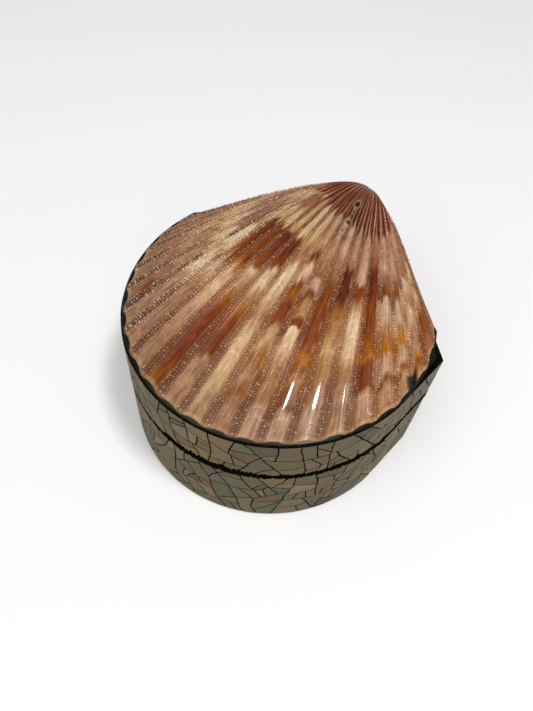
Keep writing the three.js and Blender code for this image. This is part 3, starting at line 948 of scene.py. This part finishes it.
def lacquer_material():
    """Black-green lacquer, slightly uneven."""
    material, bench, shader = new_material("black lacquer", Coat_Roughness=0.08, Coat_Weight=0.10,
                                           Specular_IOR_Level=0.1)
    spot = bench.add("ShaderNodeTexCoord", output="Object")
    cloud = bench.noise(spot, 160.0, 3.0)
    grain = bench.noise(spot, 1400.0, 3.0)
    base = (*sizes("lacquer").colour, 1.0)
    colour = bench.blend(cloud.between(0.42, 0.72), base, (0.020, 0.021, 0.012, 1.0))
    feed(bench, shader, Base_Color=colour, Roughness=0.22 + grain * 0.25)
    bump(bench, shader, grain + cloud * 2.0, 0.00004)
    return material


def resin_material():
    """Dark resin in the cracks and at the worn seam, matt and crumbly."""
    material, bench, shader = new_material("dark resin", Specular_IOR_Level=0.0)
    spot = bench.add("ShaderNodeTexCoord", output="Object")
    grain = bench.noise(spot, 1800.0, 4.0)
    colour = bench.blend(grain.between(0.4, 0.75), (0.002, 0.0015, 0.001, 1.0),
                         (0.014, 0.011, 0.006, 1.0))
    feed(bench, shader, Base_Color=colour, Roughness=0.35 + grain * 0.4)
    bump(bench, shader, grain, 0.0001)
    return material


def floor_material():
    material, bench, shader = new_material("pale floor", Roughness=0.8)
    cloud = bench.noise(bench.add("ShaderNodeTexCoord", output="Object"), 3.0, 2.0)
    pale = (*sizes("stage").floor_colour, 1.0)
    colour = bench.blend(cloud * 0.06, pale, (0.80, 0.80, 0.79, 1.0))
    feed(bench, shader, Base_Color=colour)
    return material


# Meshes

def mesh_piece(name, vertices, faces, material):
    """A finished object from plain vertices and faces, in place."""
    mesh = bpy.data.meshes.new(name)
    mesh.from_pydata([tuple(v) for v in vertices], [], [tuple(f) for f in faces])
    mesh.materials.append(material)
    made = bpy.data.objects.new(name, mesh)
    bpy.context.scene.collection.objects.link(made)
    return made


def outward(mesh):
    """Turns the faces of a closed mesh outwards."""
    work = bmesh.new()
    work.from_mesh(mesh)
    bmesh.ops.recalc_face_normals(work, faces=work.faces)
    work.to_mesh(mesh)
    work.free()


def enrol(piece, slot, *nodes):
    """Hangs a piece on the root body and hides the solids it stands for. The slot is not used."""
    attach(piece, "root")
    if nodes:
        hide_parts(*nodes)


def close_underside(mesh):
    """Closes the valve below with a flat ground edge and a shallow hollow."""
    work = bmesh.new()
    work.from_mesh(mesh)
    middle = Vector((0.0, HOLLOW_MIDDLE_Y, VALVE_FOOT))
    rim = [edge for edge in work.edges if edge.is_boundary]
    reached = 0.0
    for share, height in HOLLOW_RINGS:
        step = (share - reached) / (1 - reached)
        reached = share
        made = bmesh.ops.extrude_edge_only(work, edges=rim)["geom"]
        rim = [item for item in made if isinstance(item, bmesh.types.BMEdge)]
        for vert in (item for item in made if isinstance(item, bmesh.types.BMVert)):
            vert.co.x += (middle.x - vert.co.x) * step
            vert.co.y += (middle.y - vert.co.y) * step
            vert.co.z = VALVE_FOOT + height
    ring = list({vert for edge in rim for vert in edge.verts})
    bmesh.ops.pointmerge(work, verts=ring, merge_co=middle + Vector((0, 0, HOLLOW_TOP)))
    bmesh.ops.recalc_face_normals(work, faces=work.faces)
    work.to_mesh(mesh)
    work.free()


class MakeValve(bpy.types.Operator):
    """Grows the scallop valve along its spirals, paints it and closes its underside"""
    bl_idname = "trinket.valve"
    bl_label = "Scallop valve"

    def execute(self, context):
        size = sizes("valve")
        valve = grow("valve", valve_tree(), shell_material(), {
            "Length": size.length, "Rib height": size.rib_height,
            "Rib flatness": size.rib_flatness, "Columns per rib": size.columns_per_rib,
            "Rows": size.rows})
        mesh = valve.data
        close_underside(mesh)
        rib, growth = read_floats(mesh, "rib"), read_floats(mesh, "growth")
        colour, beaded = shell_paint(rib, growth)
        gloss = soft(rib, 13.5, 13.8) * (1 - soft(rib, 16.2, 16.4)) * (1 - beaded)
        gloss = gloss * soft(growth, 0.84, 0.87) * (1 - soft(growth, 0.90, 0.925))
        store_colour(mesh, "paint", colour)
        store_floats(mesh, "beaded", beaded)
        store_floats(mesh, "gloss", 0.06 + 0.9 * gloss)
        mesh.shade_smooth()
        enrol(valve, "scallop", "scallop_shell")
        return {"FINISHED"}


def scale_seed():
    """One scale: a low six-sided dome, closed below."""
    points = [(0, 0, 1), (0, 0, -0.6)]
    for reach, height in ((0.62, 0.72), (1.0, -0.35)):
        for i in range(6):
            turn = math.pi * i / 3
            points.append((reach * math.cos(turn), reach * math.sin(turn), height))
    faces = []
    for i in range(6):
        a = 2 + i
        b = 2 + (i + 1) % 6
        faces += [(0, a, b), (a, a + 6, b + 6, b), (1, b + 6, a + 6)]
    return points, faces


class MakeScales(bpy.types.Operator):
    """Sets rows of small scales on the crests of the ribs"""
    bl_idname = "trinket.scales"
    bl_label = "Crest scales"

    def execute(self, context):
        size = sizes("scales")
        valve = sizes("valve")
        material = scale_material()
        seed = mesh_piece("scale_seed", *scale_seed(), material)
        scales = grow("valve_scales", scale_tree(), material, {
            "Length": valve.length, "Rib height": valve.rib_height,
            "Rib flatness": valve.rib_flatness, "Rows per crest": size.rows_per_crest,
            "Scales per row": size.scales_per_row, "First growth": size.first_growth,
            "Band": size.band, "Height": size.height, "Seed": size.seed, "Scale": seed})
        bpy.data.objects.remove(seed)
        mesh = scales.data
        rib, growth, pick = (read_floats(mesh, name) for name in ("rib", "growth", "pick"))
        store_colour(mesh, "paint", bead_paint(rib, growth, pick))
        for name in ("place", "turned", "size", "shown"):
            mesh.attributes.remove(mesh.attributes[name])
        enrol(scales, "scallop")
        return {"FINISHED"}


# Mother-of-pearl chips

def polygon_area(polygon):
    x, y = polygon[:, 0], polygon[:, 1]
    return 0.5 * float(np.sum(x * np.roll(y, -1) - y * np.roll(x, -1)))


def cut_polygon(polygon, point, direction):
    """Cuts a convex polygon in two along a line."""
    normal = np.array([-direction[1], direction[0]])
    side = (polygon - point) @ normal
    left, right = [], []
    for i, here in enumerate(polygon):
        after = (i + 1) % len(polygon)
        (left if side[i] >= 0 else right).append(here)
        if (side[i] >= 0) != (side[after] >= 0):
            share = side[i] / (side[i] - side[after])
            cross = here + (polygon[after] - here) * share
            left.append(cross)
            right.append(cross)
    return np.array(left), np.array(right)


def break_up(polygon, usual, pick):
    """Breaks a convex polygon into chips of uneven size, in millimetres."""
    area = polygon_area(polygon)
    if area < usual * pick.uniform(0.45, 2.4):
        return [polygon]
    middle = polygon.mean(axis=0)
    spread = np.linalg.svd(polygon - middle)[2][0]
    reach = np.ptp((polygon - middle) @ spread) * 0.5
    best, halves = -1.0, None
    for attempt in range(3):
        lean = math.radians(90 + pick.choice((-1, 1)) * pick.uniform(8, 52))
        direction = np.array([spread[0] * math.cos(lean) - spread[1] * math.sin(lean),
                              spread[0] * math.sin(lean) + spread[1] * math.cos(lean)])
        point = middle + spread * reach * pick.uniform(-0.34, 0.34)
        pair = cut_polygon(polygon, point, direction)
        if min(len(half) for half in pair) < 3:
            continue
        round_off = [polygon_area(half) / np.sum(np.linalg.norm(
            half - np.roll(half, 1, axis=0), axis=1)) ** 2 for half in pair]
        if min(round_off) > best:
            best, halves = min(round_off), pair
    if halves is None:
        return [polygon]
    return break_up(halves[0], usual, pick) + break_up(halves[1], usual, pick)


def bent_edges(polygon, ends, heights, seed):
    """A chip's outline in short steps, bent by a smooth field so that the cracks bow."""
    made = []
    for i, here in enumerate(polygon):
        after = polygon[(i + 1) % len(polygon)]
        count = max(1, int(np.linalg.norm(after - here) / 0.8))
        for k in range(count):
            made.append(here + (after - here) * (k / count))
    made = np.array(made)
    x, y = made[:, 0].copy(), made[:, 1].copy()
    free_x = soft(x - ends[0], 0.0, 4.0) * soft(ends[1] - x, 0.0, 4.0)
    free_y = soft(y - heights[0], 0.0, 2.5) * soft(heights[1] - y, 0.0, 2.5)
    made[:, 0] += free_x * (1.7 * smooth_noise(x, y, seed, 0.42)
                            + 0.35 * smooth_noise(x, y, seed + 1, 1.5))
    made[:, 1] += free_y * (1.3 * smooth_noise(x + 40, y, seed + 2, 0.42)
                            + 0.35 * smooth_noise(x + 40, y, seed + 3, 1.5))
    return made


def draw_in(outline, distance):
    """Moves a small outline inwards by a distance."""
    before = outline - np.roll(outline, 1, axis=0)
    before /= np.maximum(np.linalg.norm(before, axis=1), 1e-9)[:, None]
    after = np.roll(before, -1, axis=0)
    normal = np.stack([-before[:, 1] - after[:, 1], before[:, 0] + after[:, 0]], axis=1)
    share = np.maximum(1 + np.sum(before * after, axis=1), 0.5)
    return outline + normal / share[:, None] * distance


PEARL_TINTS = ["695d40", "716449", "6c5f44", "625a3e", "776341", "63614a", "746242", "715e48",
               "7c6b4d", "575039", "645e45", "726147"]


def chip_band(name, low, high, seed, material):
    """One band of chips round the box, between two heights in metres."""
    size = sizes("chips")
    outline = Outline()
    pick = random.Random(seed)
    marks = sorted(outline.marks[index] for index in outline.corners)
    runs = list(zip(marks, marks[1:])) + [(marks[-1], marks[0] + outline.length)]
    tints = [tint(text) for text in PEARL_TINTS]
    vertices, faces, colours, charts = [], [], [], []
    low_mm, high_mm = low / MM, high / MM
    for first, last in ((start / MM, end / MM) for start, end in runs):
        block = np.array([[first, low_mm], [last, low_mm], [last, high_mm], [first, high_mm]])
        for chip in break_up(block, size.area, pick):
            edge = bent_edges(chip, (first, last), (low_mm, high_mm), seed)
            add_chip(outline, edge, size, pick, tints, vertices, faces, colours, charts)
    band = mesh_piece(name, vertices, faces, material)
    store_colour(band.data, "paint", np.array(colours))
    layer = band.data.uv_layers.new(name="UVMap")
    corners = np.zeros(len(band.data.loops), dtype=np.int32)
    band.data.loops.foreach_get("vertex_index", corners)
    layer.data.foreach_set("uv", np.array(charts, dtype=np.float32)[corners].ravel())
    return band


def add_chip(outline, flat, size, pick, tints, vertices, faces, colours, charts):
    """Adds one chip: a worn outer face, its edge and a back."""
    count = len(flat)
    first = len(vertices)
    middle = flat.mean(axis=0)
    lean = np.array([pick.uniform(-1, 1), pick.uniform(-1, 1)]) * size.tilt
    turn = pick.uniform(0, math.pi)
    shift = np.array([pick.uniform(0.1, 0.7), pick.uniform(0.1, 0.7)])
    shade = pick.uniform(0.80, 1.18)
    colour = pick.choice(tints) * shade
    rim = np.linalg.norm(flat - np.roll(flat, 1, axis=0), axis=1).sum()
    room = 2 * polygon_area(flat) / rim
    crack = min(size.crack / 2 / MM, 0.3 * room)
    worn = min(crack + size.edge / MM, 0.6 * room)
    face = draw_in(flat, worn)
    edge = draw_in(flat, crack)
    rings = ((middle + (face - middle) * 0.5, 0.0), (face, 0.0), (edge, 0.10),
             (edge, size.thickness / MM))
    for ring, depth in rings:
        slope = np.clip(0.06 + (ring - middle) @ lean, 0.03, 0.10)
        if depth > 0.5:
            slope = 0.0
        points = outline.at(ring[:, 0] * MM, (slope + depth) * MM * np.ones(count))
        for (x, y), (along, height) in zip(points, ring):
            vertices.append((x, y, height * MM))
            colours.append(colour)
            u = (along - middle[0]) * math.cos(turn) + (height - middle[1]) * math.sin(turn)
            v = (height - middle[1]) * math.cos(turn) - (along - middle[0]) * math.sin(turn)
            charts.append((shift[0] + u * 0.01, shift[1] + v * 0.01))
    centre = len(vertices)
    x, y = outline.at(middle[0] * MM, 0.06 * MM)
    vertices.append((x, y, middle[1] * MM))
    colours.append(colour)
    charts.append((shift[0], shift[1]))
    faces += [(centre, first + i, first + (i + 1) % count) for i in range(count)]
    faces.append(list(range(first + 4 * count - 1, first + 3 * count - 1, -1)))
    for ring in range(3):
        for i in range(count):
            a = first + ring * count + i
            b = first + ring * count + (i + 1) % count
            faces.append((b, a, a + count, b + count))


def ring_faces(rings, count, closed):
    """Faces between rings of as many points each. The last ring is joined to the first."""
    faces = []
    for j in range(rings):
        low, high = j * count, ((j + 1) % rings) * count
        for i in range(count if closed else count - 1):
            after = (i + 1) % count
            faces.append((low + i, low + after, high + after, high + i))
    return faces


def ring_wall(name, levels, material, columns=900):
    """A closed ring that follows the outline. Each level gives its inset and its height, as a
    number or as a function of the length along the outline."""
    outline = Outline()
    corner_marks = [outline.marks[index] for index in outline.corners]
    along = np.unique(np.concatenate([np.linspace(0, outline.length, columns, endpoint=False),
                                      corner_marks]))
    vertices = []
    for inset, height in levels:
        deep = np.full(len(along), inset)
        tall = height(along) if callable(height) else np.full(len(along), height)
        for (x, y), z in zip(outline.at(along, deep), tall):
            vertices.append((x, y, z))
    faces = ring_faces(len(levels), len(along), True)
    made = mesh_piece(name, vertices, faces, material)
    outward(made.data)
    return made


# The dark bed in the cracks: its front and back behind the outline, and how far it ends from the
# band's two edges
BED_FRONT = 0.15 * MM
BED_BACK = 1.05 * MM
BED_GAP = 0.05 * MM


class MakeChips(bpy.types.Operator):
    """Breaks the two side bands into mother-of-pearl chips over dark resin"""
    bl_idname = "trinket.chips"
    bl_label = "Mother-of-pearl chips"

    def execute(self, context):
        pearl = pearl_material()
        resin = bpy.data.materials["dark resin"]
        seed = sizes("chips").seed
        for part, offset in (("base", 0), ("lid", 10)):
            node = part + "_mother_of_pearl"
            low, high = (corner.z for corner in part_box(node))
            band = chip_band(part + "_chips", low, high, seed + offset, pearl)
            enrol(band, "mother_of_pearl", node)
            bed = ring_wall(part + "_crack_resin",
                            ((BED_FRONT, low + BED_GAP), (BED_FRONT, high - BED_GAP),
                             (BED_BACK, high - BED_GAP), (BED_BACK, low + BED_GAP)), resin)
            enrol(bed, "black_lacquer")
        return {"FINISHED"}


# Profile of the worn edge at the seam: inset and offset in millimetres, share of its ragged height
SEAM_PROFILE = ((1.3, 0.02, 0.0), (0.05, 0.02, 0.0), (0.025, 0.06, 0.0), (0.025, 0.1, 0.9),
                (0.10, 0.12, 1.0), (1.0, 0.12, 1.0))

# How high that edge stands, in shares of the usual: where the outline starts, at these angles of the
# fan, at the two corners on the right and where the outline ends
SEAM_ANGLES = (-44, -30, -9, -4, 7, 12, 26, 34)
SEAM_SHARES = (0.5, 0.5, 0.5, 0.6, 1.7, 1.6, 1.1, 1.3, 1.7, 1.6, 0.9, 0.5)

# Spikes: small ones anywhere, and tall ones on the right by distance past an angle of the fan
# and height, in millimetres
SMALL_SPIKES = 70
SPIKE_ANGLE = 31
TALL_SPIKES = ((0.0, 2.1), (1.3, 1.0), (3.6, 1.5), (5.4, 0.8))


def length_of_angle(outline, angle):
    """How far along the outline a direction of the fan lies."""
    wanted = polar(angle, margin_radius(angle) + LEDGE) + [0, UMBO_Y]
    away = np.linalg.norm(outline.points - wanted, axis=1)
    return outline.marks[int(np.argmin(away))]


def seam_height(outline, side):
    """How high the ragged black edge stands, by length along the outline."""
    usual = sizes("lacquer").seam_height
    marks = [0.0, *(length_of_angle(outline, angle) for angle in SEAM_ANGLES)]
    marks += [outline.marks[outline.corners[0]], outline.marks[outline.corners[1]], outline.length]

    def height(along):
        x = along / MM
        rough = smooth_noise(x, x * 0.3, 40 + side, 4.5) * 0.8
        rough = rough + smooth_noise(x, x * 0.7, 50 + side, 1.1) * 0.6
        rough = rough + smooth_noise(x, x * 0.5, 60 + side, 11.0) * 0.7
        made = usual * np.interp(along, marks, SEAM_SHARES) * np.maximum(0.2, 1 + rough)
        pick = random.Random(70 + side)
        spikes = [(pick.uniform(0, outline.length), pick.uniform(0.2, 0.7))
                  for spike in range(SMALL_SPIKES)]
        spikes += [(length_of_angle(outline, SPIKE_ANGLE) + step * MM, tall)
                   for step, tall in TALL_SPIKES]
        for place, tall in spikes:
            wide = pick.uniform(0.16, 0.34) * MM
            made = made + tall * MM * np.maximum(0, 1 - np.abs(along - place) / wide)
        return made
    return height


class MakeLacquer(bpy.types.Operator):
    """Gives the two bodies their lacquer and adds the worn seam and the resin round the valve"""
    bl_idname = "trinket.lacquer"
    bl_label = "Lacquer and resin"

    def execute(self, context):
        lacquer = lacquer_material()
        resin = resin_material()
        for name in ("base_tray", "lid_body"):
            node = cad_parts[name]
            for slot in node.material_slots:
                slot.material = lacquer
            if not node.material_slots:
                node.data.materials.append(lacquer)
        outline = Outline()
        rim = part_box("base_tray")[1].z - LIP_HEIGHT
        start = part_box("lid_body")[0].z
        for side, (name, level, way) in enumerate((("base_seam_edge", rim, -1),
                                                   ("lid_seam_edge", start, 1))):
            enrol(self.seam_edge(name, level, way, seam_height(outline, side), resin),
                  "black_lacquer")
        enrol(self.margin_bead(lacquer), "black_lacquer")
        return {"FINISHED"}

    def seam_edge(self, name, level, way, ragged, material):
        """The worn edge on one side of the seam, which hangs down from it or stands up."""
        levels = []
        for inset, offset, share in SEAM_PROFILE:
            def height(along, offset=offset, share=share):
                return level + way * (offset * MM + share * ragged(along))
            levels.append((inset * MM, height))
        return ring_wall(name, levels, material, 1500)

    def margin_bead(self, material):
        """Resin squeezed out round the margin of the valve, which fills its notches."""
        out = sizes("lacquer").margin_bead
        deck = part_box("lid_body")[1].z
        angles = np.linspace(-HALF_FAN, HALF_FAN, 700)
        radius = np.array([margin_radius(angle) for angle in angles])
        wobble = smooth_noise(angles, angles * 0.2, 90, 2.2)
        notch = np.abs(np.cos(np.pi * (angles + HALF_FAN) / (2 * HALF_FAN) * RIB_COUNT)) ** 3
        levels = [(radius - 2.0 * MM, 0.02),
                  (radius - 2.0 * MM, 0.32),
                  (radius - 0.75 * MM, 0.34 + 0.04 * wobble),
                  (radius + out * 0.2, 0.30 + 0.04 * notch + 0.06 * wobble),
                  (radius + out * (1.0 + 0.35 * wobble), 0.10),
                  (radius + out * (1.1 + 0.4 * wobble), 0.01)]
        vertices = []
        for reach, height in levels:
            for angle, distance, z in zip(angles, reach, np.broadcast_to(height, angles.shape)):
                x, y = polar(angle, distance)
                vertices.append((x, y + UMBO_Y, deck + z * MM))
        count = len(angles)
        faces = [[j * count + end for j in range(len(levels))] for end in (0, count - 1)]
        faces += ring_faces(len(levels), count, False)
        made = mesh_piece("margin_resin", vertices, faces, material)
        outward(made.data)
        made.data.shade_smooth()
        return made


# Places in metres. The camera's place, and its axes before it rolls, come from a fit to the
# silhouette and the seam in the photograph.
KEY_PLACE = (0.10, -0.62, 1.15)
LAMP_PLACE = (0.20, -0.05, 0.70)
CAMERA_PLACE = (0.03961, -0.08824, 0.14984)
CAMERA_RIGHT = Vector((0.89457, 0.44692, 0.0))
CAMERA_UP = Vector((-0.36750, 0.73560, 0.56906))
CAMERA_ROLL = 6.0719
FLOOR_REACH = 3.0


class MakeStage(bpy.types.Operator):
    """Lays the pale floor, sets the soft lights and places the camera"""
    bl_idname = "trinket.stage"
    bl_label = "Floor, lights and camera"

    def execute(self, context):
        look = sizes("stage")
        corners = [(x * FLOOR_REACH, y * FLOOR_REACH, 0)
                   for x, y in ((-1, -1), (1, -1), (1, 1), (-1, 1))]
        floor = mesh_piece("floor", corners, [(0, 1, 2, 3)], floor_material())
        world = bpy.data.worlds.new("studio")
        world.use_nodes = True
        ground = world.node_tree.nodes["Background"]
        ground.inputs["Color"].default_value = (1.0, 1.0, 1.0, 1.0)
        ground.inputs["Strength"].default_value = look.sky
        context.scene.world = world
        context.scene.view_settings.view_transform = "Standard"
        self.light("key", KEY_PLACE, 1.50, look.key_power)
        self.light("lamp", LAMP_PLACE, 0.10, look.lamp_power)
        self.camera(context, look)
        return {"FINISHED"}

    def light(self, name, place, size, power):
        """A flat square lamp that faces the box."""
        lamp = bpy.data.lights.new(name, "AREA")
        lamp.energy = power
        lamp.shape = "RECTANGLE"
        lamp.size, lamp.size_y = size, size
        made = bpy.data.objects.new(name, lamp)
        made.location = place
        direction = Vector((0.0, 0.0, 0.03)) - Vector(place)
        made.rotation_euler = direction.to_track_quat("-Z", "Y").to_euler()
        bpy.context.scene.collection.objects.link(made)

    def camera(self, context, look):
        """The photograph's view."""
        roll = math.radians(CAMERA_ROLL)
        turned_right = CAMERA_RIGHT * math.cos(roll) + CAMERA_UP * math.sin(roll)
        turned_up = CAMERA_UP * math.cos(roll) - CAMERA_RIGHT * math.sin(roll)
        back = turned_right.cross(turned_up)
        lens = bpy.data.cameras.new("camera")
        lens.lens = look.lens
        lens.sensor_width = 36
        lens.clip_start = 0.005
        made = bpy.data.objects.new("camera", lens)
        axes = Matrix((turned_right, turned_up, back)).transposed()
        made.matrix_world = Matrix.Translation(CAMERA_PLACE) @ axes.to_4x4()
        context.scene.collection.objects.link(made)
        context.scene.camera = made


class TrinketPanel(bpy.types.Panel):
    """Lists the pieces of the trinket box"""
    bl_idname = "VIEW3D_PT_trinket"
    bl_label = "Trinket Box"
    bl_space_type = "VIEW_3D"
    bl_region_type = "UI"
    bl_category = "Trinket Box"

    def draw(self, context):
        for name, group in GROUPS.items():
            box = self.layout.box()
            box.label(text=name.capitalize())
            for key in group.__annotations__:
                box.prop(sizes(name), key)
        for operator in OPERATORS:
            self.layout.operator(operator.bl_idname)


OPERATORS = [MakeLacquer, MakeChips, MakeValve, MakeScales, MakeStage]


def register():
    for group in (*GROUPS.values(), *OPERATORS, TrinketPanel):
        bpy.utils.register_class(group)
    for name, group in GROUPS.items():
        setattr(bpy.types.Scene, "trinket_" + name, PointerProperty(type=group))


def unregister():
    for name in GROUPS:
        delattr(bpy.types.Scene, "trinket_" + name)
    for group in reversed((*GROUPS.values(), *OPERATORS, TrinketPanel)):
        bpy.utils.unregister_class(group)


def main():
    register()
    bpy.ops.trinket.lacquer()
    bpy.ops.trinket.chips()
    bpy.ops.trinket.valve()
    bpy.ops.trinket.scales()
    bpy.ops.trinket.stage()


if __name__ == "__main__":
    main()
